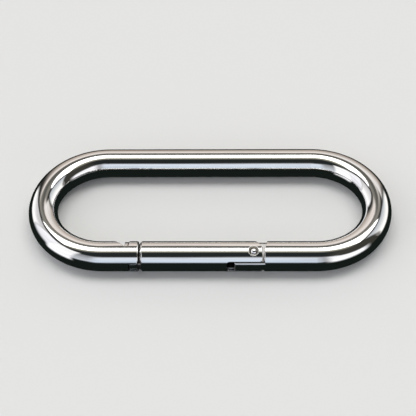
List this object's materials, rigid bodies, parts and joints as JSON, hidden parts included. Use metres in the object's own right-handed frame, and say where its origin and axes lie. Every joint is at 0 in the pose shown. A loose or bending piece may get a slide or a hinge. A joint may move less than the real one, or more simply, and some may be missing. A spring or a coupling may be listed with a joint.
{
  "type": "oval snap hook carabiner",
  "caption": "Long oval snap hook bent from plated round rod, with a sprung gate that swings inwards on a rivet and latches in the hook's nose",
  "frame": {"origin": "middle of the ring, at half its thickness", "axes": "+X along the ring towards the hinge end, -Y towards the gate's straight, +Z square to the ring, upwards as it lies"},
  "size_m": [0.1, 0.043, 0.008],
  "materials": {
    "plated_rod": "bright mirror-like zinc or nickel plating over steel rod, with faint drawing lines along the rod",
    "plated_gate": "the same bright plating on a turned bar, milled faces a little duller",
    "plated_rivet": "bright plating on closed, slightly domed rivet ends",
    "bare_steel": "turned steel, lightly oiled",
    "spring_wire": "cold drawn spring wire"
  },
  "bodies": {
    "ring": {"ring_body": "plated_rod"},
    "gate": {"gate": "plated_gate", "hinge_rivet": "plated_rivet", "return_spring": "spring_wire"},
    "plunger": {"spring_plunger": "bare_steel"}
  },
  "joints": [
    {"name": "gate_swing", "type": "hinge", "parent": "ring", "child": "gate", "pos_m": [0.01175, -0.01875, 0], "axis": [0, 0, -1], "range_deg": [0, 47], "stiffness_Nm_per_rad": 0.016, "springref_deg": -91.67},
    {"name": "plunger_slide", "type": "slide", "parent": "gate", "child": "plunger", "axis": [-1, 0, 0], "range_m": [0, 0.00125], "deforming": ["return_spring"]}
  ],
  "couplings": [
    {"joint": "plunger_slide", "follows": "gate_swing", "m_per_rad": 0.0015}
  ]
}
